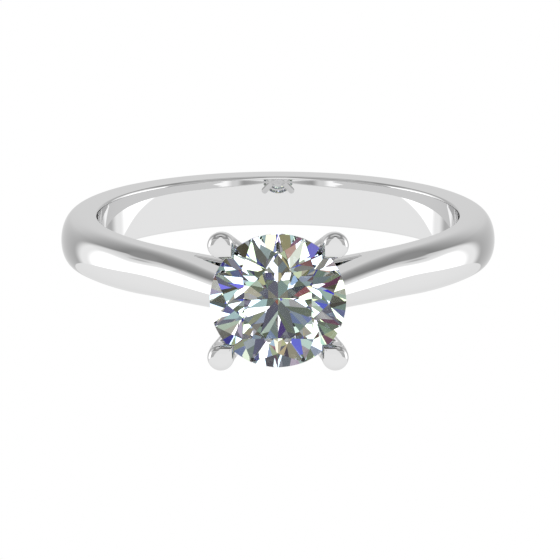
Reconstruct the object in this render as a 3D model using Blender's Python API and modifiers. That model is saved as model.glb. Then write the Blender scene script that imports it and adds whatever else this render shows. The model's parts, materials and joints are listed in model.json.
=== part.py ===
"""A cathedral solitaire ring with a round brilliant in four claws, lying on a table.

Everything is drawn in the ring's own axes, in millimetres: the finger hole runs along Z, the stone faces -Y and the
origin is the centre of the finger hole. Each piece is parented to one empty. The empty tilts the ring until the two
lower claws and the back of the band touch the table together, and puts the table at Z = 0 below the middle of the ring.
"""

import math

import bmesh
import bpy
from mathutils import Matrix, Vector

MM = 0.001
OBJECT_NAME = "solitaire_ring"

# Clearance between two pieces that are soldered or set together on the real ring.
JOINT_GAP = 0.03

# Finger hole and band. Angles go round the finger from the head (0) to the back of the band (180).
FINGER_RADIUS = 8.78
BAND_CREST_RADIUS = 10.57
INNER_EDGE_ROUNDING = 0.15
BACK_ANGLE = 180.0
SHANK_END_ANGLE = 12.1
SECTION_COUNT = 46

# The top line of each shoulder is straight. It passes the finger axis at this distance, on this bearing.
SHOULDER_LINE_DISTANCE = 10.14
SHOULDER_LINE_BEARING = 53.0
SHOULDER_DEPTH = 1.75
SHOULDER_BLEND = 0.2

# Half widths of the band along Z, at the finger and at the outer edge of its side face, and the height of the
# rounded back above that edge, at a few angles round the finger. A side face is flat near the finger and eases
# over the last FACE_EASING before its outer edge. It is flat all over from the last but one station on.
FACE_EASING = 0.8
WIDTH_STATIONS = (
    # angle, at the finger, at the outer edge, rounded back
    (12.0, 0.82, 0.50, 0.22),
    (24.0, 1.03, 0.70, 0.26),
    (36.0, 1.14, 0.83, 0.30),
    (54.0, 1.225, 0.95, 0.40),
    (75.0, 1.24, 1.06, 0.48),
    (105.0, 1.23, 1.18, 0.54),
    (130.0, 1.225, 1.225, 0.54),
    (140.0, 1.225, 1.225, 0.54),
    (180.0, 1.225, 1.225, 0.54),
)

# Bridge: the arc of band that closes the finger hole under the head.
BRIDGE_OUTER_RADIUS = 9.5
BRIDGE_EDGE_ROUNDING = 0.12
BRIDGE_SECTION_COUNT = 10

# Stone: a round brilliant. Its girdle plane is this far from the finger axis.
STONE_DIAMETER = 6.5
GIRDLE_DISTANCE = 13.83
GIRDLE_THICKNESS = 0.17
GIRDLE_SIDES = 64
TABLE_SHARE = 0.535
CROWN_ANGLE = 34.6
PAVILION_ANGLE = 40.8
STAR_LENGTH_SHARE = 0.5
LOWER_HALF_SHARE = 0.77
SEAT_GROWTH = 1.013

# Head: a base cup on the bridge, a gallery rail, and four claws on the diagonals.
CUP_TOP_DISTANCE = 10.42
CUP_FOOT_RADIUS = 0.92
CUP_RIM_RADIUS = 1.62
CUP_HOLE_RADIUS = 0.5
RAIL_DISTANCE = 12.1
RAIL_RADIUS = 2.24
RAIL_WIRE_RADIUS = 0.27
CLAW_BEARINGS = (45.0, 135.0, 225.0, 315.0)
CLAW_SIDES = 16

# The claw's centre line below its tip: distance from the stone's axis, distance from the finger axis, radius of the
# wire, and how far its inner side is drawn out to a right-angled point (0 is round).
CLAW_LINE = (
    (1.05, CUP_TOP_DISTANCE - 0.35, 0.44, 0.0),
    (2.40, 12.10, 0.56, 0.0),
    (3.30, 13.10, 0.61, 0.0),
    (3.74, 13.58, 0.636, 0.15),
    (3.865, 14.02, 0.636, 1.0),
)
CLAW_DOME_HEIGHT = 0.445
CLAW_DOME_FULLNESS = 4


def remove_everything():
    for obj in list(bpy.data.objects):
        bpy.data.objects.remove(obj, do_unlink=True)


def collection(name, shown=True):
    made = bpy.data.collections.new(name)
    made.hide_render = not shown
    bpy.context.scene.collection.children.link(made)
    return made


def metal(name):
    """Rhodium-bright white gold, polished to a mirror."""
    made = bpy.data.materials.new(name)
    made.use_nodes = True
    shader = made.node_tree.nodes["Principled BSDF"]
    shader.inputs["Base Color"].default_value = (0.75, 0.75, 0.752, 1.0)
    shader.inputs["Metallic"].default_value = 1.0
    shader.inputs["Roughness"].default_value = 0.04
    return made


def gem(name):
    made = bpy.data.materials.new(name)
    made.use_nodes = True
    shader = made.node_tree.nodes["Principled BSDF"]
    shader.inputs["Base Color"].default_value = (0.97, 0.98, 1.0, 1.0)
    shader.inputs["Metallic"].default_value = 0.0
    shader.inputs["Roughness"].default_value = 0.0
    shader.inputs["IOR"].default_value = 2.417
    shader.inputs["Transmission Weight"].default_value = 1.0
    return made


def object_from(bm, name, home, material=None, smooth_under=30.0):
    """A new object from a bmesh drawn in millimetres. Edges sharper than smooth_under degrees stay sharp."""
    bmesh.ops.scale(bm, vec=(MM, MM, MM), verts=bm.verts)
    bmesh.ops.recalc_face_normals(bm, faces=bm.faces)
    mesh = bpy.data.meshes.new(name)
    bm.to_mesh(mesh)
    bm.free()
    if smooth_under > 0.0:
        mesh.shade_smooth()
        mesh.set_sharp_from_angle(angle=math.radians(smooth_under))
    obj = bpy.data.objects.new(name, mesh)
    home.objects.link(obj)
    if material:
        mesh.materials.append(material)
    return obj


def cutter(obj):
    obj.display_type = "WIRE"
    obj.hide_render = True
    return obj


def cut(obj, tool):
    modifier = obj.modifiers.new("cut_" + tool.name, "BOOLEAN")
    modifier.operation = "DIFFERENCE"
    modifier.solver = "EXACT"
    modifier.object = tool


def loft(bm, sections, cap_first, cap_last):
    """Skins closed sections of equal length, given as lists of points."""
    rings = [[bm.verts.new(point) for point in section] for section in sections]
    for ring, following in zip(rings, rings[1:]):
        count = len(ring)
        for i in range(count):
            j = (i + 1) % count
            bm.faces.new((ring[i], ring[j], following[j], following[i]))
    if cap_first:
        bm.faces.new(rings[0][::-1])
    if cap_last:
        bm.faces.new(rings[-1])


def station_values(angle, stations):
    """Values at an angle, on smooth curves through the stations that are level at the first and the last."""
    angle = min(max(angle, stations[0][0]), stations[-1][0])
    last = len(stations) - 1
    i = 0
    while i < last - 1 and angle > stations[i + 1][0]:
        i += 1
    span = stations[i + 1][0] - stations[i][0]
    t = (angle - stations[i][0]) / span
    values = []
    for k in range(1, len(stations[0])):
        slopes = []
        for at in (i, i + 1):
            low = max(at - 1, 0)
            high = min(at + 1, last)
            slopes.append((stations[high][k] - stations[low][k]) / (stations[high][0] - stations[low][0]))
        start, end = stations[i][k], stations[i + 1][k]
        values.append(
            start * (2 * t**3 - 3 * t**2 + 1)
            + slopes[0] * span * (t**3 - 2 * t**2 + t)
            + end * (3 * t**2 - 2 * t**3)
            + slopes[1] * span * (t**3 - t**2)
        )
    return values


def smooth_max(a, b, blend):
    return (a + b) / 2 + math.sqrt(((a - b) / 2) ** 2 + blend**2)


def line_radius(angle, distance):
    """Distance from the finger axis to a shoulder line, measured at an angle round the finger."""
    return distance / math.cos(math.radians(SHOULDER_LINE_BEARING - angle))


def crest_radius(angle):
    """Distance from the finger axis to the highest line of the band's back and shoulders."""
    off_line = SHOULDER_LINE_BEARING - angle
    if off_line < -10.0:
        return BAND_CREST_RADIUS
    fade = min(1.0, (off_line + 10.0) / 20.0)
    fade = fade * fade * (3.0 - 2.0 * fade)
    line = line_radius(angle, SHOULDER_LINE_DISTANCE)
    return smooth_max(BAND_CREST_RADIUS, line, SHOULDER_BLEND * fade)


def bridge_end_angle():
    """Where the underside of a shoulder leaves the bridge's outer face."""
    share = (SHOULDER_LINE_DISTANCE - SHOULDER_DEPTH) / (BRIDGE_OUTER_RADIUS + JOINT_GAP)
    return SHOULDER_LINE_BEARING - math.degrees(math.acos(share))


def at_angle(radius, angle, z):
    """A point at a distance from the finger axis, at an angle round the finger from the head."""
    turn = math.radians(angle)
    return Vector((radius * math.sin(turn), -radius * math.cos(turn), z))


def band_section(angle):
    """The band's closed outline at one angle: bore, rounded inner edges, side faces and a rounded back."""
    at_finger, at_edge, back = station_values(angle, WIDTH_STATIONS)
    crest = crest_radius(angle)
    edge = crest - back
    half = []
    for i in range(2):
        half.append((FINGER_RADIUS, (at_finger - INNER_EDGE_ROUNDING) * i))
    for i in range(1, 5):
        turn = math.radians(90.0 * i / 4)
        radius = FINGER_RADIUS + INNER_EDGE_ROUNDING * (1 - math.cos(turn))
        half.append((radius, at_finger - INNER_EDGE_ROUNDING * (1 - math.sin(turn))))
    for i in range(5):
        share = i / 5
        half.append((edge - FACE_EASING * (1 - share), at_finger + (at_edge - at_finger) * share**2))
    for i in range(8):
        turn = math.radians(90.0 * i / 7)
        half.append((edge + back * math.sin(turn), at_edge * math.cos(turn)))
    outline = half + [(radius, -z) for radius, z in reversed(half[1:-1])]
    return [at_angle(radius, angle, z) for radius, z in outline]


def mirrored_half(obj):
    modifier = obj.modifiers.new("other_half", "MIRROR")
    modifier.use_axis = (True, False, False)
    modifier.merge_threshold = 0.00001
    return modifier


def build_shank(home, tools, material):
    """The band from one side of the head round to the other, with its straight rising shoulders."""
    bm = bmesh.new()
    span = BACK_ANGLE - SHANK_END_ANGLE
    angles = [SHANK_END_ANGLE + span * (i / SECTION_COUNT) ** 1.25 for i in range(SECTION_COUNT + 1)]
    sections = [band_section(angle) for angle in angles]
    for point in sections[-1]:
        point.x = 0.0
    loft(bm, sections, cap_first=True, cap_last=False)
    shank = object_from(bm, "shank", home, material)
    mirrored_half(shank)
    cut(shank, window_cutter(tools))
    return shank


def window_cutter(tools):
    """The opening under the shoulders: the bridge's place and the space above it, cut straight through along Z."""
    inside = FINGER_RADIUS - 1.0
    line = SHOULDER_LINE_DISTANCE - SHOULDER_DEPTH
    end = bridge_end_angle()
    right = [at_angle(inside, end, 0.0), at_angle(line_radius(end, line), end, 0.0)]
    far_angle = SHANK_END_ANGLE - 4.0
    right.append(at_angle(line_radius(far_angle, line), far_angle, 0.0))
    outline = right + [Vector((-p.x, p.y, 0.0)) for p in reversed(right)]
    depth = 2.0
    bm = bmesh.new()
    sections = [[Vector((p.x, p.y, z)) for p in outline] for z in (-depth, depth)]
    loft(bm, sections, cap_first=True, cap_last=True)
    return cutter(object_from(bm, "window_cutter", tools, smooth_under=0.0))


def bridge_section(angle):
    at_finger = station_values(max(angle, SHANK_END_ANGLE), WIDTH_STATIONS)[0]
    rounding = BRIDGE_EDGE_ROUNDING
    half = [(FINGER_RADIUS, 0.0), (FINGER_RADIUS, at_finger - INNER_EDGE_ROUNDING)]
    for i in range(1, 5):
        turn = math.radians(90.0 * i / 4)
        radius = FINGER_RADIUS + INNER_EDGE_ROUNDING * (1 - math.cos(turn))
        half.append((radius, at_finger - INNER_EDGE_ROUNDING * (1 - math.sin(turn))))
    for i in range(4):
        turn = math.radians(90.0 * i / 3)
        radius = BRIDGE_OUTER_RADIUS - rounding * (1 - math.sin(turn))
        half.append((radius, at_finger - rounding * (1 - math.cos(turn))))
    half.append((BRIDGE_OUTER_RADIUS, 0.0))
    outline = half + [(radius, -z) for radius, z in reversed(half[1:-1])]
    return [at_angle(radius, angle, z) for radius, z in outline]


def build_bridge(home, material):
    """The arc under the head. Its ends butt against the shank."""
    bm = bmesh.new()
    end = bridge_end_angle() - math.degrees(JOINT_GAP / FINGER_RADIUS)
    angles = [end * (1 - i / BRIDGE_SECTION_COUNT) for i in range(BRIDGE_SECTION_COUNT + 1)]
    sections = [bridge_section(angle) for angle in angles]
    loft(bm, sections, cap_first=True, cap_last=False)
    bridge = object_from(bm, "bridge", home, material)
    mirrored_half(bridge)
    return bridge


def turned(name, profile, home, material, steps, height):
    """A piece turned about the stone's axis. The profile is (radius, distance from the finger axis) points."""
    mesh = bpy.data.meshes.new(name)
    points = [(radius * MM, 0.0, (distance - height) * MM) for radius, distance in profile]
    count = len(points)
    mesh.from_pydata(points, [(i, (i + 1) % count) for i in range(count)], [])
    obj = bpy.data.objects.new(name, mesh)
    home.objects.link(obj)
    obj.location = (0.0, -height * MM, 0.0)
    obj.rotation_euler = (math.radians(90.0), 0.0, 0.0)
    mesh.materials.append(material)
    screw = obj.modifiers.new("turn", "SCREW")
    screw.steps = steps
    screw.render_steps = steps
    screw.use_merge_vertices = True
    screw.merge_threshold = 0.000001
    screw.use_smooth_shade = True
    return obj


def build_cup(home, material):
    """The cup that carries the claws' feet. It stands on the bridge, and a hole lets light up to the stone."""
    foot = BRIDGE_OUTER_RADIUS + JOINT_GAP
    top = CUP_TOP_DISTANCE
    profile = [
        (CUP_HOLE_RADIUS, top),
        (CUP_RIM_RADIUS - 0.12, top),
        (CUP_RIM_RADIUS - 0.03, top - 0.04),
        (CUP_RIM_RADIUS, top - 0.13),
        (CUP_RIM_RADIUS - 0.10, top - 0.28),
        (CUP_RIM_RADIUS - 0.38, top - 0.42),
        (CUP_FOOT_RADIUS + 0.07, top - 0.52),
        (CUP_FOOT_RADIUS, top - 0.66),
        (CUP_FOOT_RADIUS, foot),
        (CUP_HOLE_RADIUS, foot),
    ]
    return turned("head_cup", profile, home, material, 40, foot)


def build_rail(home, material, name="gallery_rail", grow=0.0):
    """The round wire that ties the claws together below the stone."""
    wire = RAIL_WIRE_RADIUS + grow
    sides = 10
    profile = []
    for i in range(sides):
        turn = -2 * math.pi * i / sides
        profile.append((RAIL_RADIUS + wire * math.cos(turn), RAIL_DISTANCE + wire * math.sin(turn)))
    return turned(name, profile, home, material, 48, RAIL_DISTANCE)


def facet(radius, height, angle, bearing):
    """A cutting plane through a point at a bearing round the stone's axis, leaning in at an angle from the table."""
    lean = math.radians(angle)
    turn = math.radians(bearing)
    normal = Vector((math.sin(lean) * math.cos(turn), math.sin(lean) * math.sin(turn), math.cos(lean)))
    point = Vector((radius * math.cos(turn), radius * math.sin(turn), height))
    return point, normal


def facet_through(points):
    """The plane through three points, facing away from the middle of the stone."""
    normal = (points[1] - points[0]).cross(points[2] - points[0]).normalized()
    if normal.dot(points[0]) < 0:
        normal.negate()
    return points[0], normal


def round_point(radius, height, bearing):
    turn = math.radians(bearing)
    return Vector((radius * math.cos(turn), radius * math.sin(turn), height))


def stone_facets():
    """All facet planes of the brilliant, with the girdle's middle at height 0 and the table up."""
    radius = STONE_DIAMETER / 2
    top = GIRDLE_THICKNESS / 2
    half_step = 22.5
    share = math.cos(math.radians(half_step))
    table_corner = radius * TABLE_SHARE
    crown_slope = math.tan(math.radians(CROWN_ANGLE))
    pavilion_slope = math.tan(math.radians(PAVILION_ANGLE))
    table_height = top + (radius - table_corner) * crown_slope
    table_edge = table_corner * share
    star_tip = table_edge + (radius - table_edge) * STAR_LENGTH_SHARE
    star_tip_height = table_height - (star_tip * share - table_corner) * crown_slope
    half_tip = radius * (1 - LOWER_HALF_SHARE)
    half_tip_depth = top + (radius - half_tip * share) * pavilion_slope
    planes = [(Vector((0.0, 0.0, table_height)), Vector((0.0, 0.0, 1.0)))]
    for i in range(8):
        main = half_step + 45.0 * i
        star = 45.0 * i
        planes.append(facet(radius, top, CROWN_ANGLE, main))
        planes.append(facet(radius, -top, 180.0 - PAVILION_ANGLE, main))
        star_angle = math.degrees(math.atan2(table_height - star_tip_height, star_tip - table_edge))
        planes.append(facet(table_edge, table_height, star_angle, star))
        for side in (-half_step, half_step):
            upper = [round_point(star_tip, star_tip_height, star)]
            upper.append(round_point(radius, top, star))
            upper.append(round_point(radius, top, star + side))
            planes.append(facet_through(upper))
            lower = [round_point(half_tip, -half_tip_depth, star)]
            lower.append(round_point(radius, -top, star))
            lower.append(round_point(radius, -top, star + side))
            planes.append(facet_through(lower))
    return planes


def build_stone(name, home, material, growth):
    """Cuts a round blank with one plane after another, as a stone is faceted, and leaves flat facets."""
    bm = bmesh.new()
    blank = STONE_DIAMETER / 2
    bmesh.ops.create_cone(
        bm, cap_ends=True, segments=GIRDLE_SIDES, radius1=blank, radius2=blank, depth=2 * STONE_DIAMETER
    )
    for point, normal in stone_facets():
        geometry = list(bm.verts) + list(bm.edges) + list(bm.faces)
        found = bmesh.ops.bisect_plane(
            bm, geom=geometry, dist=1e-5, plane_co=point, plane_no=normal, clear_outer=True
        )
        rim = [item for item in found["geom_cut"] if isinstance(item, bmesh.types.BMEdge)]
        bmesh.ops.edgeloop_fill(bm, edges=rim)
    bmesh.ops.remove_doubles(bm, verts=bm.verts, dist=1e-4)
    bmesh.ops.scale(bm, vec=(growth, growth, growth), verts=bm.verts)
    stone = object_from(bm, name, home, material, smooth_under=0.0)
    stone.location = (0.0, -GIRDLE_DISTANCE * MM, 0.0)
    stone.rotation_euler = (math.radians(90.0), 0.0, 0.0)
    return stone


def claw_stations():
    """Centre, radius and point of the claw at each section: the bent wire first, then the domed tip."""
    stations = [(float(i),) + values for i, values in enumerate(CLAW_LINE)]
    per_span = 3
    count = (len(CLAW_LINE) - 1) * per_span
    found = [station_values(i / per_span, stations) for i in range(count + 1)]
    reach, distance, wire, point = CLAW_LINE[-1]
    steps = 5
    for i in range(1, steps + 1):
        shrink = math.cos(math.radians(86.0 * i / steps))
        rise = CLAW_DOME_HEIGHT * (1 - shrink**CLAW_DOME_FULLNESS) ** 0.5
        found.append((reach, distance + rise, wire * shrink, point))
    return found


def teardrop(spin, point):
    """Distance from the centre to a circle of radius 1 whose side at spin 180 is drawn out to a right angle."""
    off = abs(math.degrees(spin) - 180.0)
    if off >= 45.0:
        return 1.0
    return 1.0 + point * (1 / math.cos(math.radians(45.0 - off)) - 1.0)


def build_claw(number, bearing, home, material, tools):
    """One claw: a tapering wire from the cup to the girdle, ending in a domed teardrop that points over the crown."""
    turn = math.radians(bearing)
    out = Vector((math.cos(turn), 0.0, math.sin(turn)))
    up = Vector((0.0, -1.0, 0.0))
    across = out.cross(up)
    stations = claw_stations()
    centres = [out * reach + up * distance for reach, distance, _, _ in stations]
    sections = []
    for i, (_, _, wire, point) in enumerate(stations):
        along = (centres[min(i + 1, len(centres) - 1)] - centres[max(i - 1, 0)]).normalized()
        outward = along.cross(across)
        ring = []
        for k in range(CLAW_SIDES):
            spin = 2 * math.pi * k / CLAW_SIDES
            size = wire * teardrop(spin, point)
            ring.append(centres[i] + outward * (size * math.cos(spin)) + across * (size * math.sin(spin)))
        sections.append(ring)
    bm = bmesh.new()
    loft(bm, sections, cap_first=True, cap_last=True)
    claw = object_from(bm, f"claw_{number}", home, material, smooth_under=50.0)
    for tool in tools:
        cut(claw, tool)
    return claw


def foot_cutter(tools):
    """A block whose upper face trims the claws' feet just clear of the cup's top."""
    bm = bmesh.new()
    bmesh.ops.create_cube(bm, size=1.0)
    size = 6.0
    depth = 2.0
    bmesh.ops.scale(bm, vec=(size, depth, size), verts=bm.verts)
    face = CUP_TOP_DISTANCE + JOINT_GAP
    bmesh.ops.translate(bm, vec=(0.0, -face + depth / 2, 0.0), verts=bm.verts)
    return cutter(object_from(bm, "foot_cutter", tools, smooth_under=0.0))


def lay_on_table(holder, pieces):
    """Tilts and lifts the holder so that the head and the back of the band both touch Z = 0."""
    bpy.context.view_layer.update()
    graph = bpy.context.evaluated_depsgraph_get()
    points = []
    for piece in pieces:
        shaped = piece.evaluated_get(graph)
        points.extend(shaped.matrix_world @ vertex.co for vertex in shaped.data.vertices)
    low, high = 0.0, math.radians(30.0)
    for _ in range(50):
        tilt = (low + high) / 2
        turned_points = [Matrix.Rotation(-tilt, 3, "X") @ point for point in points]
        front = min(point.z for point in turned_points if point.y < 0)
        back = min(point.z for point in turned_points if point.y > 0)
        if front < back:
            low = tilt
        else:
            high = tilt
    nearest = min(point.y for point in turned_points)
    furthest = max(point.y for point in turned_points)
    holder.rotation_euler = (-tilt, 0.0, 0.0)
    holder.location = (0.0, -(nearest + furthest) / 2, -min(front, back))


def main():
    remove_everything()
    home = collection(OBJECT_NAME)
    tools = collection("cutters", shown=False)
    pieces = [build_shank(home, tools, metal("shank_white_gold")), build_bridge(home, metal("bridge_white_gold"))]
    pieces.append(build_cup(home, metal("cup_white_gold")))
    pieces.append(build_rail(home, metal("rail_white_gold")))
    claw_tools = [
        cutter(build_stone("seat_cutter", tools, None, SEAT_GROWTH)),
        cutter(build_rail(tools, metal("cutter"), "rail_cutter", JOINT_GAP)),
        foot_cutter(tools),
    ]
    for number, bearing in enumerate(CLAW_BEARINGS, 1):
        pieces.append(build_claw(number, bearing, home, metal(f"claw_{number}_white_gold"), claw_tools))
    pieces.append(build_stone("diamond", home, gem("diamond_brilliant"), 1.0))
    holder = bpy.data.objects.new("ring_axes", None)
    home.objects.link(holder)
    lay_on_table(holder, pieces)
    for piece in pieces:
        piece.parent = holder
    for tool in tools.objects:
        tool.parent = holder


main()
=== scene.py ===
"""The looks of the cathedral solitaire ring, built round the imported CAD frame.

The shapes are drawn in the ring's own axes, in millimetres: the finger hole runs along Z, the stone faces -Y
and the origin is the centre of the finger hole. The frame's mount "finger" says where those axes lie.
"""

import json
import math

import bmesh
import bpy
from mathutils import Matrix, Vector


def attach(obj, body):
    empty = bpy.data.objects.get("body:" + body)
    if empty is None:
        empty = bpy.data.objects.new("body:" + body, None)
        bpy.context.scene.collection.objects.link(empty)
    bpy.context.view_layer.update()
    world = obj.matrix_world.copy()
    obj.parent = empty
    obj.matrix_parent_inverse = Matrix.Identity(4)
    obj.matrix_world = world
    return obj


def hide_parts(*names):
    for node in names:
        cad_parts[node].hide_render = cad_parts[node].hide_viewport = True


MM = 0.001

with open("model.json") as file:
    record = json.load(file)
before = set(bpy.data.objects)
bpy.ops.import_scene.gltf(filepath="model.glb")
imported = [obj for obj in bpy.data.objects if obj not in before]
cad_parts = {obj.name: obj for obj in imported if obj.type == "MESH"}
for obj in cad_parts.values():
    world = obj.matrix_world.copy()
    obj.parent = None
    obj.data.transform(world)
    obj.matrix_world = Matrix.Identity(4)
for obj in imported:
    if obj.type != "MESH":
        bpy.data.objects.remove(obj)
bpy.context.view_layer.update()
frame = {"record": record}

mount = next(m for m in frame["record"]["mounts"] if m["name"] == "finger")
RING_CENTRE = Vector(mount["pos_m"])
RING_UP = Vector(mount["axis"]).normalized()
RING_RIGHT = Vector((1.0, 0.0, 0.0))
RING_BACK = RING_UP.cross(RING_RIGHT)
RING_AXES = Matrix.Translation(RING_CENTRE) @ Matrix((RING_RIGHT, RING_BACK, RING_UP)).transposed().to_4x4()

# Band and shoulders. Their sizes are those of the CAD source, and the doming of the bore is added here.
FINGER_RADIUS = 8.78
BAND_CREST_RADIUS = 10.57
RIM = 0.15
UNDERSIDE_RIM = 0.06
FACE_LENGTH = 0.8
FACE_POWER = 2
FACE_SPLIT = 9.6
SHANK_END_ANGLE = 12.1
SHOULDER_LINE_DISTANCE = 10.14
SHOULDER_LINE_BEARING = 53.0
SHOULDER_DEPTH = 1.75
SHOULDER_BLEND = 0.2
SHOULDER_FADE = 10.0
# Angle from the head, half width at the finger, half width at the back's edge, depth of the back.
WIDTH_STATIONS = (
    (12.0, 0.82, 0.50, 0.22),
    (24.0, 1.03, 0.70, 0.26),
    (36.0, 1.14, 0.83, 0.30),
    (54.0, 1.225, 0.95, 0.40),
    (75.0, 1.24, 1.06, 0.48),
    (105.0, 1.23, 1.18, 0.54),
    (130.0, 1.225, 1.225, 0.54),
    (140.0, 1.225, 1.225, 0.54),
    (180.0, 1.225, 1.225, 0.54),
)
COMFORT_RADIUS = 16.0
BACK_ROUNDNESS = 0.58

# How finely the band is drawn.
FLAT_STEPS = 9
RIM_STEPS = 24
SIDE_STEPS = 12
EASED_STEPS = 30
BACK_STEPS = 48
BRIDGE_EDGE_STEPS = 12
BRIDGE_TOP_STEPS = 4
SHOULDER_SECTIONS = 60
BAND_SECTIONS = 300
BRIDGE_SECTIONS = 80

# The bridge.
BRIDGE_OUTER_RADIUS = 9.5
BRIDGE_EDGE_ROUNDING = 0.12
BRIDGE_END_OVERLAP = 0.2

# Stone.
STONE_DIAMETER = 6.5
GIRDLE_DISTANCE = 13.83
GIRDLE_THICKNESS = 0.17
TABLE_SHARE = 0.535
CROWN_ANGLE = 34.6
PAVILION_ANGLE = 40.8
STAR_LENGTH_SHARE = 0.5
LOWER_HALF_SHARE = 0.77
STONE_SEGMENTS = 256

# Head.
CUP_TOP_DISTANCE = 10.42
CUP_FOOT_RADIUS = 0.92
CUP_RIM_RADIUS = 1.62
CUP_HOLE_RADIUS = 0.5
CUP_SINK = 0.03
CUP_STEPS = 96
RAIL_DISTANCE = 12.1
RAIL_RADIUS = 2.24
RAIL_WIRE_RADIUS = 0.27
RAIL_SIDES = 32
RAIL_STEPS = 160
CLAW_BEARINGS = (45.0, 135.0, 225.0, 315.0)
# Reach from the stone's axis, distance from the finger axis, wire radius, and how far it comes to a point.
CLAW_LINE = (
    (1.05, CUP_TOP_DISTANCE - 0.35, 0.44, 0.0),
    (2.40, 12.10, 0.56, 0.0),
    (3.30, 13.10, 0.61, 0.0),
    (3.74, 13.58, 0.636, 0.15),
    (3.865, 14.02, 0.636, 1.0),
)
CLAW_DOME_HEIGHT = 0.445
CLAW_DOME_END = 0.03
CLAW_DOME_STEPS = 40
CLAW_SPAN_STEPS = 16
CLAW_SIDES = 96
SEAT_GROWTH = 1.006

# Polish of the metal and body of the stone. Scales are for metres, depths in metres.
METAL_COLOUR = (0.753, 0.753, 0.755, 1.0)
METAL_EDGE_TINT = (0.87, 0.87, 0.87, 1.0)
STONE_IOR = 2.417
STONE_SURFACE_TINT = (0.2, 0.2, 0.2, 1.0)
POLISH_CLOUDS = 600.0
POLISH_HAIRS = 6000.0
ROUGH_LEAST = 0.012
ROUGH_MOST = 0.03
ROUGH_HAIR = 0.012
BUMP_STRENGTH = 0.05
BUMP_DEPTH = 0.0000005
BODY_CLOUDS = 400.0

# The studio, fitted to the photograph. A bearing runs from 0 at the back wall's middle to 180 in front, and a
# height from the level, both in degrees. A pair is where a change starts and ends. Three numbers are a band's
# lower and upper edge and its softness.
WALL_END = 62.0
WALL_MIDDLE_TONE = 0.87
WALL_END_TONE = 0.45
WALL_FADE = (10.0, 46.0)
WALL_TOP_SHARE = 0.44
LAMP_START = (43.0, 54.0)
LAMP_CORE = (58.0, 68.0)
LAMP_EDGE_TONE = 1.08
LAMP_CORE_TONE = 1.7
LAMP_UPPER = (14.0, 24.0)
LAMP_UPPER_TONE = 0.98
LAMP_TOP = (24.0, 38.0)
LAMP_TOP_TONE = 0.78
SHADE_HEIGHT = (28.0, 34.0)
SHADE_SIDE = (70.0, 80.0)
SHADE_TONE = 0.4
FRONT_START = (102.0, 104.0)
FRONT_TONE = 0.548
FRONT_PANEL = (36.0, 48.0, 8.0)
FRONT_PANEL_TONE = 0.75
GAP = (43.0, 54.0, 5.0)
GAP_TONE = 0.34
CEILING_START = (58.0, 62.0)
CEILING_SPLIT = (92.0, 97.0)
CEILING_BACK_TONE = 0.75
CEILING_FRONT_TONE = 0.38
REFLECTOR_START = (148.0, 152.0)
REFLECTOR_LEAN = 0.3
REFLECTOR_TOP = (69.0, 65.0)
REFLECTOR_TONE = 1.0
OPENING_START = (140.0, 150.0)
OPENING = (70.0, 80.0, 2.0)
OPENING_TONE = 0.04
FLOOR_SPAN = (-90.0, -10.0)
FLOOR_NEAR_TONE = 0.96
FLOOR_FAR_TONE = 1.02
FLOOR_EDGE_SIDE = -9.2
FLOOR_EDGE_TILT = -16.0
FLOOR_EDGE_SAG = -4.2
FLOOR_EDGE_SOFTNESS = 0.3

# The room that the stone shows, fitted to the photograph too. For red, green and blue: how far its view is
# turned, in radians, how much of it comes from that turned view, and the least and most of its tint. The other
# list gives the tone of a panel from its random number.
SPARKLE_SCALE = 7.2
SPARKLE_TURN_SHARE = 0.7
SPARKLE_CHANNELS = ((-0.03, 0.1, 0.68, 1.12), (0.0, 0.0, 1.0, 1.0), (0.05, 0.2, 0.56, 1.5))
SPARKLE_GAIN = 1.3
SPARKLE_TONES = ((0.0, 0.01), (0.12, 0.04), (0.3, 0.11), (0.5, 0.22), (0.7, 0.4), (0.82, 1.3), (1.0, 1.8))

# Camera, as seen in the ring's axes.
CAMERA_DISTANCE = 600.0
CAMERA_ELEVATION = 12.27
LENS = 790.7
AIM_RIGHT = 0.0976
AIM_DOWN = 2.007


def station_values(angle, stations):
    """Values at an angle, on smooth curves through the stations that are level at the first and the last."""
    angle = min(max(angle, stations[0][0]), stations[-1][0])
    last = len(stations) - 1
    i = 0
    while i < last - 1 and angle > stations[i + 1][0]:
        i += 1
    span = stations[i + 1][0] - stations[i][0]
    t = (angle - stations[i][0]) / span
    values = []
    for k in range(1, len(stations[0])):
        slopes = []
        for at in (i, i + 1):
            low = max(at - 1, 0)
            high = min(at + 1, last)
            slopes.append((stations[high][k] - stations[low][k]) / (stations[high][0] - stations[low][0]))
        start, end = stations[i][k], stations[i + 1][k]
        values.append(
            start * (2 * t**3 - 3 * t**2 + 1)
            + slopes[0] * span * (t**3 - 2 * t**2 + t)
            + end * (3 * t**2 - 2 * t**3)
            + slopes[1] * span * (t**3 - t**2)
        )
    return values


def smooth_max(a, b, blend):
    return (a + b) / 2 + math.sqrt(((a - b) / 2) ** 2 + blend**2)


def line_radius(angle, distance):
    """Distance from the finger axis to a shoulder line, measured at an angle round the finger."""
    return distance / math.cos(math.radians(SHOULDER_LINE_BEARING - angle))


def crest_radius(angle):
    off_line = SHOULDER_LINE_BEARING - angle
    if off_line < -SHOULDER_FADE:
        return BAND_CREST_RADIUS
    fade = min(1.0, (off_line + SHOULDER_FADE) / (2 * SHOULDER_FADE))
    fade = fade * fade * (3.0 - 2.0 * fade)
    line = line_radius(angle, SHOULDER_LINE_DISTANCE)
    return smooth_max(BAND_CREST_RADIUS, line, SHOULDER_BLEND * fade)


def bridge_end_angle():
    share = (SHOULDER_LINE_DISTANCE - SHOULDER_DEPTH) / BRIDGE_OUTER_RADIUS
    return SHOULDER_LINE_BEARING - math.degrees(math.acos(share))


def at_angle(radius, angle, z):
    turn = math.radians(angle)
    return Vector((radius * math.sin(turn), -radius * math.cos(turn), z))


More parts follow.
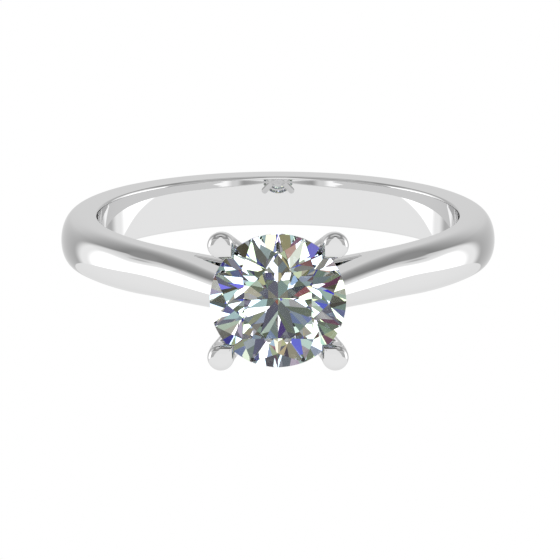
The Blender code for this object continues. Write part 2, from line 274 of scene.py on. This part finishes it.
def world_mesh(bm, name, material, node, smooth_under=40.0):
    """A finished piece from a bmesh in the ring's axes: placed, shaded and riding on the root."""
    bm.transform(RING_AXES @ Matrix.Scale(MM, 4))
    bmesh.ops.recalc_face_normals(bm, faces=bm.faces)
    mesh = bpy.data.meshes.new(name)
    bm.to_mesh(mesh)
    bm.free()
    if smooth_under > 0.0:
        mesh.shade_smooth()
        mesh.set_sharp_from_angle(angle=math.radians(smooth_under))
    mesh.materials.append(material)
    obj = bpy.data.objects.new(name, mesh)
    bpy.context.scene.collection.objects.link(obj)
    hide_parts(node)
    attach(obj, "root")
    return obj


def loft(bm, sections, cap_first=True, cap_last=True, closed=True):
    rings = [[bm.verts.new(point) for point in section] for section in sections]
    for ring, following in zip(rings, rings[1:]):
        count = len(ring)
        for i in range(count if closed else count - 1):
            j = (i + 1) % count
            bm.faces.new((ring[i], ring[j], following[j], following[i]))
    if cap_first:
        bm.faces.new(rings[0][::-1])
    if cap_last:
        bm.faces.new(rings[-1])


def band_section(angle, inner):
    """The band's outline at one angle. inner is None at the bore, or the radius of a shoulder's underside."""
    at_finger, at_edge, back = station_values(angle, WIDTH_STATIONS)
    crest = crest_radius(angle)
    edge = crest - back
    start = FINGER_RADIUS if inner is None else inner
    rim = RIM if inner is None else UNDERSIDE_RIM
    face_start = edge - FACE_LENGTH
    fall = (at_finger - at_edge) / (edge - face_start) ** FACE_POWER
    side_start = start + rim
    width = at_finger - fall * max(side_start - face_start, 0.0) ** FACE_POWER
    flat = width - rim
    half = bore_side(start, flat, rim, domed=inner is None)
    split = max(FACE_SPLIT, side_start + 0.02)
    radii = [side_start + (split - side_start) * i / SIDE_STEPS for i in range(1, SIDE_STEPS)]
    radii += [split + (edge - split) * i / EASED_STEPS for i in range(EASED_STEPS)]
    for radius in radii:
        half.append((radius, at_finger - fall * max(radius - face_start, 0.0) ** FACE_POWER))
    slope = FACE_POWER * fall * (edge - face_start) ** (FACE_POWER - 1)
    corner = at_edge - slope * back
    leaving = (edge + BACK_ROUNDNESS * back, at_edge - BACK_ROUNDNESS * slope * back)
    handles = ((edge, at_edge), leaving, (crest, BACK_ROUNDNESS * corner), (crest, 0.0))
    for i in range(BACK_STEPS + 1):
        half.append(bezier(handles, i / BACK_STEPS))
    outline = half + [(radius, -z) for radius, z in reversed(half[1:-1])]
    return [at_angle(radius, angle, z) for radius, z in outline]


def rim_point(share):
    """Depth and height, each from 0 to 1, along the eased edge of the bore."""
    turn = math.radians(90.0 * share)
    return 1 - math.cos(turn), math.sin(turn)


def bore_side(start, flat, rim, domed):
    """Half of a section's inner side and its eased edge. A domed one falls away from its middle."""
    half = []
    for i in range(FLAT_STEPS):
        z = flat * i / FLAT_STEPS
        fall = z * z / (2 * COMFORT_RADIUS) if domed else 0.0
        half.append((start + fall, z))
    dome = flat * flat / (2 * COMFORT_RADIUS) if domed else 0.0
    for i in range(RIM_STEPS + 1):
        depth, height = rim_point(i / RIM_STEPS)
        half.append((start + dome + (rim - dome) * depth, flat + rim * height))
    return half


def bezier(handles, t):
    weights = ((1 - t) ** 3, 3 * t * (1 - t) ** 2, 3 * t * t * (1 - t), t**3)
    return tuple(sum(w * handle[k] for w, handle in zip(weights, handles)) for k in (0, 1))


def build_shank(material):
    end = bridge_end_angle()
    line = SHOULDER_LINE_DISTANCE - SHOULDER_DEPTH
    sections = []
    for i in range(SHOULDER_SECTIONS + 1):
        angle = SHANK_END_ANGLE + (end - SHANK_END_ANGLE) * i / SHOULDER_SECTIONS
        sections.append(band_section(angle, line_radius(angle, line)))
    bore_start = end + 0.01
    for i in range(BAND_SECTIONS + 1):
        angle = bore_start + (180.0 - bore_start) * i / BAND_SECTIONS
        sections.append(band_section(angle, None))
    mirrored = [[Vector((-p.x, p.y, p.z)) for p in section] for section in reversed(sections[:-1])]
    bm = bmesh.new()
    loft(bm, sections + mirrored)
    return world_mesh(bm, "visual_shank", material, "shank")


def bridge_section(angle):
    at_finger = station_values(max(abs(angle), SHANK_END_ANGLE), WIDTH_STATIONS)[0]
    rounding = BRIDGE_EDGE_ROUNDING
    half = bore_side(FINGER_RADIUS, at_finger - RIM, RIM, domed=True)
    for i in range(BRIDGE_EDGE_STEPS + 1):
        turn = math.radians(90.0 * i / BRIDGE_EDGE_STEPS)
        radius = BRIDGE_OUTER_RADIUS - rounding * (1 - math.sin(turn))
        half.append((radius, at_finger - rounding * (1 - math.cos(turn))))
    for i in range(1, BRIDGE_TOP_STEPS + 1):
        half.append((BRIDGE_OUTER_RADIUS, (at_finger - rounding) * (1 - i / BRIDGE_TOP_STEPS)))
    outline = half + [(radius, -z) for radius, z in reversed(half[1:-1])]
    return [at_angle(radius, angle, z) for radius, z in outline]


def build_bridge(material):
    end = bridge_end_angle() + BRIDGE_END_OVERLAP
    sections = [bridge_section(end * (1 - 2 * i / BRIDGE_SECTIONS)) for i in range(BRIDGE_SECTIONS + 1)]
    bm = bmesh.new()
    loft(bm, sections)
    return world_mesh(bm, "visual_bridge", material, "bridge")


def turned(profile, steps, name, material, node):
    """A closed profile of (radius, distance from the finger axis) points turned about the stone's axis."""
    sections = []
    for i in range(steps):
        turn = 2 * math.pi * i / steps
        sections.append([Vector((r * math.cos(turn), -d, r * math.sin(turn))) for r, d in profile])
    bm = bmesh.new()
    loft(bm, sections + [sections[0]], cap_first=False, cap_last=False)
    bmesh.ops.remove_doubles(bm, verts=bm.verts, dist=1e-5)
    return world_mesh(bm, name, material, node)


def build_cup(material):
    foot = BRIDGE_OUTER_RADIUS - CUP_SINK
    top = CUP_TOP_DISTANCE
    profile = [
        (CUP_HOLE_RADIUS, top),
        (CUP_RIM_RADIUS - 0.12, top),
        (CUP_RIM_RADIUS - 0.03, top - 0.04),
        (CUP_RIM_RADIUS, top - 0.13),
        (CUP_RIM_RADIUS - 0.10, top - 0.28),
        (CUP_RIM_RADIUS - 0.38, top - 0.42),
        (CUP_FOOT_RADIUS + 0.07, top - 0.52),
        (CUP_FOOT_RADIUS, top - 0.66),
        (CUP_FOOT_RADIUS, foot),
        (CUP_HOLE_RADIUS, foot),
    ]
    return turned(profile, CUP_STEPS, "visual_head_cup", material, "head_cup")


def build_rail(material):
    profile = []
    for i in range(RAIL_SIDES):
        turn = 2 * math.pi * i / RAIL_SIDES
        radius = RAIL_RADIUS + RAIL_WIRE_RADIUS * math.cos(turn)
        profile.append((radius, RAIL_DISTANCE + RAIL_WIRE_RADIUS * math.sin(turn)))
    return turned(profile, RAIL_STEPS, "visual_gallery_rail", material, "gallery_rail")


def facet(radius, height, angle, bearing):
    lean = math.radians(angle)
    turn = math.radians(bearing)
    normal = Vector((math.sin(lean) * math.cos(turn), math.sin(lean) * math.sin(turn), math.cos(lean)))
    point = Vector((radius * math.cos(turn), radius * math.sin(turn), height))
    return point, normal


def facet_through(points):
    normal = (points[1] - points[0]).cross(points[2] - points[0]).normalized()
    if normal.dot(points[0]) < 0:
        normal.negate()
    return points[0], normal


def round_point(radius, height, bearing):
    turn = math.radians(bearing)
    return Vector((radius * math.cos(turn), radius * math.sin(turn), height))


def stone_facets():
    radius = STONE_DIAMETER / 2
    top = GIRDLE_THICKNESS / 2
    half_step = 22.5
    share = math.cos(math.radians(half_step))
    table_corner = radius * TABLE_SHARE
    crown_slope = math.tan(math.radians(CROWN_ANGLE))
    pavilion_slope = math.tan(math.radians(PAVILION_ANGLE))
    table_height = top + (radius - table_corner) * crown_slope
    table_edge = table_corner * share
    star_tip = table_edge + (radius - table_edge) * STAR_LENGTH_SHARE
    star_tip_height = table_height - (star_tip * share - table_corner) * crown_slope
    half_tip = radius * (1 - LOWER_HALF_SHARE)
    half_tip_depth = top + (radius - half_tip * share) * pavilion_slope
    planes = [(Vector((0.0, 0.0, table_height)), Vector((0.0, 0.0, 1.0)))]
    for i in range(8):
        main = half_step + 45.0 * i
        star = 45.0 * i
        planes.append(facet(radius, top, CROWN_ANGLE, main))
        planes.append(facet(radius, -top, 180.0 - PAVILION_ANGLE, main))
        star_angle = math.degrees(math.atan2(table_height - star_tip_height, star_tip - table_edge))
        planes.append(facet(table_edge, table_height, star_angle, star))
        for side in (-half_step, half_step):
            upper = [round_point(star_tip, star_tip_height, star)]
            upper.append(round_point(radius, top, star))
            upper.append(round_point(radius, top, star + side))
            planes.append(facet_through(upper))
            lower = [round_point(half_tip, -half_tip_depth, star)]
            lower.append(round_point(radius, -top, star))
            lower.append(round_point(radius, -top, star + side))
            planes.append(facet_through(lower))
    return planes


def stone_bmesh(growth):
    """The faceted stone, as a bmesh in the ring's axes."""
    bm = bmesh.new()
    blank = STONE_DIAMETER / 2
    bmesh.ops.create_cone(
        bm, cap_ends=True, segments=STONE_SEGMENTS, radius1=blank, radius2=blank, depth=2 * STONE_DIAMETER
    )
    for point, normal in stone_facets():
        geometry = list(bm.verts) + list(bm.edges) + list(bm.faces)
        found = bmesh.ops.bisect_plane(
            bm, geom=geometry, dist=1e-5, plane_co=point, plane_no=normal, clear_outer=True
        )
        rim = [item for item in found["geom_cut"] if isinstance(item, bmesh.types.BMEdge)]
        bmesh.ops.edgeloop_fill(bm, edges=rim)
    bmesh.ops.remove_doubles(bm, verts=bm.verts, dist=1e-4)
    bmesh.ops.scale(bm, vec=(growth, growth, growth), verts=bm.verts)
    facing = Matrix.Rotation(math.radians(90.0), 4, "X")
    bm.transform(Matrix.Translation((0.0, -GIRDLE_DISTANCE, 0.0)) @ facing)
    return bm


def claw_stations():
    """Reach from the stone's axis, distance from the finger axis, wire radius and point, foot to dome."""
    stations = [(float(i),) + values for i, values in enumerate(CLAW_LINE)]
    count = (len(CLAW_LINE) - 1) * CLAW_SPAN_STEPS
    found = [station_values(i / CLAW_SPAN_STEPS, stations) for i in range(count + 1)]
    reach, distance, wire, point = CLAW_LINE[-1]
    for i in range(1, CLAW_DOME_STEPS + 1):
        shrink = max(math.cos(math.radians(90.0 * i / CLAW_DOME_STEPS)), CLAW_DOME_END)
        rise = CLAW_DOME_HEIGHT * math.sqrt(1 - shrink**4)
        found.append((reach, distance + rise, wire * shrink, point))
    return found


def teardrop(spin, point):
    """How far the outline draws out towards the stone. point goes from 0, round, to 1, a full corner."""
    off = abs(math.degrees(spin) - 180.0)
    if off >= 45.0:
        return 1.0
    return 1.0 + point * (1 / math.cos(math.radians(45.0 - off)) - 1.0)


def claw_bmesh(bearing):
    turn = math.radians(bearing)
    out = Vector((math.cos(turn), 0.0, math.sin(turn)))
    up = Vector((0.0, -1.0, 0.0))
    across = out.cross(up)
    stations = claw_stations()
    centres = [out * reach + up * distance for reach, distance, _, _ in stations]
    sections = []
    for i, (_, _, wire, point) in enumerate(stations):
        along = (centres[min(i + 1, len(centres) - 1)] - centres[max(i - 1, 0)]).normalized()
        outward = along.cross(across)
        ring = []
        for k in range(CLAW_SIDES):
            spin = 2 * math.pi * k / CLAW_SIDES
            size = wire * teardrop(spin, point)
            ring.append(centres[i] + outward * (size * math.cos(spin)) + across * (size * math.sin(spin)))
        sections.append(ring)
    bm = bmesh.new()
    loft(bm, sections)
    bmesh.ops.recalc_face_normals(bm, faces=bm.faces)
    return bm


def loose_object(bm, name):
    mesh = bpy.data.meshes.new(name)
    bm.to_mesh(mesh)
    bm.free()
    obj = bpy.data.objects.new(name, mesh)
    bpy.context.scene.collection.objects.link(obj)
    return obj


def build_claws(material):
    """Each claw is a drawn wire with a filed tip. The stone's shape, a little larger, cuts its seat."""
    seat = stone_bmesh(SEAT_GROWTH)
    bmesh.ops.recalc_face_normals(seat, faces=seat.faces)
    tool = loose_object(seat, "seat_tool")
    for number, bearing in enumerate(CLAW_BEARINGS, 1):
        wire = loose_object(claw_bmesh(bearing), "claw_wire")
        notch = wire.modifiers.new("seat", "BOOLEAN")
        notch.operation = "DIFFERENCE"
        notch.solver = "MANIFOLD"
        notch.object = tool
        bpy.context.view_layer.update()
        shaped = wire.evaluated_get(bpy.context.evaluated_depsgraph_get()).to_mesh()
        bm = bmesh.new()
        bm.from_mesh(shaped)
        bpy.data.objects.remove(wire)
        world_mesh(bm, f"visual_claw_{number}", material, f"claw_{number}")
    bpy.data.objects.remove(tool)


def metal_material(name):
    """Polished rhodium plate. The polish varies a little, with hair lines too fine to see singly."""
    made = bpy.data.materials.new(name)
    made.use_nodes = True
    graph = Graph(made.node_tree)
    shader = graph.tree.nodes["Principled BSDF"]
    shader.inputs["Base Color"].default_value = METAL_COLOUR
    shader.inputs["Metallic"].default_value = 1.0
    shader.inputs["Specular Tint"].default_value = METAL_EDGE_TINT
    where = graph.tree.nodes.new("ShaderNodeTexCoord").outputs["Object"]
    clouds = graph.noise(where, POLISH_CLOUDS, 3.0)
    lines = graph.tree.nodes.new("ShaderNodeMapping")
    lines.inputs["Scale"].default_value = (1.0, 1.0, 9.0)
    graph.put(lines.inputs["Vector"], where)
    hairs = graph.noise(lines.outputs[0], POLISH_HAIRS, 2.0)
    rough = graph.mix(graph.rise(clouds, 0.35, 0.7), ROUGH_LEAST, ROUGH_MOST)
    rough = graph.math("ADD", rough, graph.math("MULTIPLY", graph.rise(hairs, 0.55, 0.75), ROUGH_HAIR))
    graph.put(shader.inputs["Roughness"], rough)
    bump = graph.tree.nodes.new("ShaderNodeBump")
    bump.inputs["Strength"].default_value = BUMP_STRENGTH
    bump.inputs["Distance"].default_value = BUMP_DEPTH
    graph.put(bump.inputs["Height"], hairs)
    graph.put(shader.inputs["Normal"], bump.outputs[0])
    return made


def gem_material(name):
    """Clear stone. Its surface mirrors less than a real one, and its body is a hair from colourless."""
    made = bpy.data.materials.new(name)
    made.use_nodes = True
    graph = Graph(made.node_tree)
    shader = graph.tree.nodes["Principled BSDF"]
    shader.inputs["Roughness"].default_value = 0.0
    shader.inputs["IOR"].default_value = STONE_IOR
    shader.inputs["Transmission Weight"].default_value = 1.0
    shader.inputs["Specular Tint"].default_value = STONE_SURFACE_TINT
    where = graph.tree.nodes.new("ShaderNodeTexCoord").outputs["Object"]
    body = graph.tree.nodes.new("ShaderNodeMix")
    body.data_type = "RGBA"
    graph.put(body.inputs["Factor"], graph.noise(where, BODY_CLOUDS, 2.0))
    body.inputs["A"].default_value = (0.985, 0.99, 1.0, 1.0)
    body.inputs["B"].default_value = (1.0, 1.0, 0.985, 1.0)
    graph.put(shader.inputs["Base Color"], body.outputs["Result"])
    return made


def build_ring():
    metal = metal_material("polished_white_gold")
    build_shank(metal)
    build_bridge(metal)
    build_cup(metal)
    build_rail(metal)
    gem = gem_material("brilliant")
    world_mesh(stone_bmesh(1.0), "visual_diamond", gem, "diamond", smooth_under=3.0)
    build_claws(metal)


def build_camera():
    lean = math.radians(CAMERA_ELEVATION)
    back = Vector((0.0, -math.cos(lean), math.sin(lean)))
    up = Vector((0.0, math.sin(lean), math.cos(lean)))
    place = back * CAMERA_DISTANCE
    aim = Vector((AIM_RIGHT, 0.0, 0.0)) - up * AIM_DOWN
    data = bpy.data.cameras.new("camera")
    data.lens = LENS
    data.sensor_width = 36.0
    data.clip_start = 0.01
    data.clip_end = 10.0
    camera = bpy.data.objects.new("camera", data)
    bpy.context.scene.collection.objects.link(camera)
    camera.location = RING_AXES @ (place * MM)
    toward = RING_AXES.to_3x3() @ (aim - place)
    camera.rotation_euler = toward.to_track_quat("-Z", "Y").to_euler()
    bpy.context.scene.camera = camera


class Graph:
    """Short calls that add nodes to one node tree. A value is a number or another node's output."""

    def __init__(self, tree):
        self.tree = tree

    def put(self, socket, value):
        if isinstance(value, bpy.types.NodeSocket):
            self.tree.links.new(value, socket)
        else:
            socket.default_value = value

    def math(self, operation, first, second=0.0):
        node = self.tree.nodes.new("ShaderNodeMath")
        node.operation = operation
        self.put(node.inputs[0], first)
        self.put(node.inputs[1], second)
        return node.outputs[0]

    def rise(self, value, start, end):
        """0 below start, 1 above end, smooth between. With end below start it falls."""
        node = self.tree.nodes.new("ShaderNodeMapRange")
        node.interpolation_type = "SMOOTHSTEP"
        self.put(node.inputs["Value"], value)
        self.put(node.inputs["From Min"], start)
        self.put(node.inputs["From Max"], end)
        return node.outputs[0]

    def between(self, value, low, high, soft):
        """1 from low to high, falling to 0 over a soft edge outside."""
        return self.math("MULTIPLY", self.rise(value, low - soft, low), self.rise(value, high + soft, high))

    def mix(self, share, first, second):
        node = self.tree.nodes.new("ShaderNodeMix")
        self.put(node.inputs["Factor"], share)
        self.put(node.inputs["A"], first)
        self.put(node.inputs["B"], second)
        return node.outputs[0]

    def noise(self, where, scale, detail):
        node = self.tree.nodes.new("ShaderNodeTexNoise")
        node.inputs["Scale"].default_value = scale
        node.inputs["Detail"].default_value = detail
        self.put(node.inputs["Vector"], where)
        return node.outputs[0]

    def curve(self, value, points, span):
        """A smooth curve through (position, height) points. Positions run from 0 to span."""
        node = self.tree.nodes.new("ShaderNodeFloatCurve")
        line = node.mapping.curves[0]
        for position, height in points[1:-1]:
            line.points.new(position / span, height)
        line.points[0].location = (points[0][0] / span, points[0][1])
        line.points[len(points) - 1].location = (points[-1][0] / span, points[-1][1])
        node.mapping.update()
        self.put(node.inputs["Value"], self.math("DIVIDE", value, span))
        return node.outputs[0]


def wall_light(graph, side, height):
    """The back wall: brightest in its middle, dimmer towards its ends and upwards."""
    light = graph.mix(graph.rise(side, 0.0, WALL_END), WALL_MIDDLE_TONE, WALL_END_TONE)
    return graph.math("MULTIPLY", light, graph.mix(graph.rise(height, *WALL_FADE), 1.0, WALL_TOP_SHARE))


def lamp_light(graph, side, height):
    """The softbox on each side: a bright core with dimmer edges, and a shaded corner above."""
    lamp = graph.mix(graph.rise(side, *LAMP_CORE), LAMP_EDGE_TONE, LAMP_CORE_TONE)
    lamp = graph.mix(graph.rise(height, *LAMP_UPPER), lamp, LAMP_UPPER_TONE)
    lamp = graph.mix(graph.rise(height, *LAMP_TOP), lamp, LAMP_TOP_TONE)
    shade = graph.math("MULTIPLY", graph.rise(height, *SHADE_HEIGHT), graph.rise(side, *SHADE_SIDE))
    return graph.mix(shade, lamp, SHADE_TONE)


def upper_light(graph, light, side, height):
    """Over the walls: a dark gap, then the ceiling, which is brighter over the back than over the front."""
    light = graph.mix(graph.between(height, *GAP), light, GAP_TONE)
    ceiling = graph.mix(graph.rise(side, *CEILING_SPLIT), CEILING_BACK_TONE, CEILING_FRONT_TONE)
    return graph.mix(graph.rise(height, *CEILING_START), light, ceiling)


def reflector_light(graph, light, side, height):
    """In front: a white reflector that narrows upwards, with a small dark opening over it."""
    lean = graph.math("MULTIPLY", graph.math("MAXIMUM", height, 0.0), REFLECTOR_LEAN)
    across = graph.rise(graph.math("SUBTRACT", side, lean), *REFLECTOR_START)
    reflector = graph.math("MULTIPLY", across, graph.rise(height, *REFLECTOR_TOP))
    light = graph.mix(reflector, light, REFLECTOR_TONE)
    opening = graph.math("MULTIPLY", graph.rise(side, *OPENING_START), graph.between(height, *OPENING))
    return graph.mix(opening, light, OPENING_TONE)


def floor_edge(graph, side):
    """The height at which the floor ends, which is lowest at the back wall and highest in front."""
    turn = graph.math("COSINE", graph.math("RADIANS", side))
    edge = graph.math("ADD", graph.math("MULTIPLY", turn, FLOOR_EDGE_TILT), FLOOR_EDGE_SIDE)
    return graph.math("ADD", edge, graph.math("MULTIPLY", graph.math("MULTIPLY", turn, turn), FLOOR_EDGE_SAG))


def studio_light(graph, where):
    """The tone of the studio in each direction."""
    axes = graph.tree.nodes.new("ShaderNodeSeparateXYZ")
    graph.put(axes.inputs[0], where)
    bearing = graph.math("MULTIPLY", graph.math("ARCTAN2", axes.outputs[0], axes.outputs[1]), 180 / math.pi)
    side = graph.math("ABSOLUTE", bearing)
    height = graph.math("MULTIPLY", graph.math("ARCSINE", axes.outputs[2]), 180 / math.pi)
    wall = wall_light(graph, side, height)
    light = graph.mix(graph.rise(side, *LAMP_START), wall, lamp_light(graph, side, height))
    front = graph.mix(graph.between(height, *FRONT_PANEL), FRONT_TONE, FRONT_PANEL_TONE)
    light = graph.mix(graph.rise(side, *FRONT_START), light, front)
    light = upper_light(graph, light, side, height)
    light = reflector_light(graph, light, side, height)
    floor = graph.mix(graph.rise(height, *FLOOR_SPAN), FLOOR_NEAR_TONE, FLOOR_FAR_TONE)
    above = graph.math("SUBTRACT", height, floor_edge(graph, side))
    return graph.mix(graph.rise(above, -FLOOR_EDGE_SOFTNESS, FLOOR_EDGE_SOFTNESS), floor, light)


def build_studio():
    """Soft studio light for the metal, and a room of its own for rays that have passed through the stone."""
    scene = bpy.context.scene
    scene.view_settings.view_transform = "Standard"
    scene.cycles.max_bounces = 24
    scene.cycles.glossy_bounces = 6
    scene.cycles.transmission_bounces = 24
    world = bpy.data.worlds.new("studio")
    world.use_nodes = True
    scene.world = world
    graph = Graph(world.node_tree)
    where = graph.tree.nodes.new("ShaderNodeTexCoord").outputs["Generated"]
    metal_view = graph.tree.nodes["Background"]
    graph.put(metal_view.inputs["Strength"], studio_light(graph, where))
    metal_view.inputs["Color"].default_value = (1.0, 1.0, 1.0, 1.0)
    stone_view = graph.tree.nodes.new("ShaderNodeBackground")
    graph.put(stone_view.inputs["Color"], stone_sparkle(graph, where))
    path = graph.tree.nodes.new("ShaderNodeLightPath")
    choice = graph.tree.nodes.new("ShaderNodeMixShader")
    graph.put(choice.inputs[0], graph.math("GREATER_THAN", path.outputs["Transmission Depth"], 0.5))
    graph.tree.links.new(metal_view.outputs[0], choice.inputs[1])
    graph.tree.links.new(stone_view.outputs[0], choice.inputs[2])
    graph.tree.links.new(choice.outputs[0], graph.tree.nodes["World Output"].inputs["Surface"])
    build_floor()


def sparkle_cells(graph, where, shift):
    """Three random numbers for each panel of the stone's room, seen with a small turn."""
    moved = graph.tree.nodes.new("ShaderNodeMapping")
    graph.put(moved.inputs["Vector"], where)
    moved.inputs["Rotation"].default_value = (shift, shift * SPARKLE_TURN_SHARE, shift)
    cells = graph.tree.nodes.new("ShaderNodeTexVoronoi")
    cells.inputs["Scale"].default_value = SPARKLE_SCALE
    graph.put(cells.inputs["Vector"], moved.outputs[0])
    pick = graph.tree.nodes.new("ShaderNodeSeparateColor")
    graph.put(pick.inputs[0], cells.outputs["Color"])
    return pick.outputs


def stone_sparkle(graph, where):
    """What the stone throws back: a room of small tinted panels. Red and blue look a little beside green."""
    colour = graph.tree.nodes.new("ShaderNodeCombineColor")
    common = sparkle_cells(graph, where, 0.0)
    tone = graph.curve(common[0], SPARKLE_TONES, 1.0)
    for channel, (shift, share, least, most) in enumerate(SPARKLE_CHANNELS):
        value = tone
        if share > 0:
            own = graph.curve(sparkle_cells(graph, where, shift)[0], SPARKLE_TONES, 1.0)
            value = graph.mix(share, tone, own)
        if most > least:
            hue = graph.math("ADD", graph.math("MULTIPLY", common[max(channel, 1)], most - least), least)
            value = graph.math("MULTIPLY", value, hue)
        graph.put(colour.inputs[channel], graph.math("MULTIPLY", value, SPARKLE_GAIN))
    return colour.outputs[0]


def build_floor():
    """The pale floor. It glows evenly, as a light table does, and only the camera sees it."""
    bm = bmesh.new()
    bmesh.ops.create_grid(bm, x_segments=8, y_segments=8, size=2.0)
    mesh = bpy.data.meshes.new("floor")
    bm.to_mesh(mesh)
    bm.free()
    made = bpy.data.materials.new("floor_white")
    made.use_nodes = True
    graph = Graph(made.node_tree)
    graph.tree.nodes.clear()
    glow = graph.tree.nodes.new("ShaderNodeEmission")
    output = graph.tree.nodes.new("ShaderNodeOutputMaterial")
    graph.tree.links.new(glow.outputs[0], output.inputs["Surface"])
    mesh.materials.append(made)
    obj = bpy.data.objects.new("floor", mesh)
    bpy.context.scene.collection.objects.link(obj)
    obj.visible_glossy = False
    obj.visible_transmission = False
    obj.visible_diffuse = False
    obj.visible_shadow = False


build_ring()
build_camera()
build_studio()
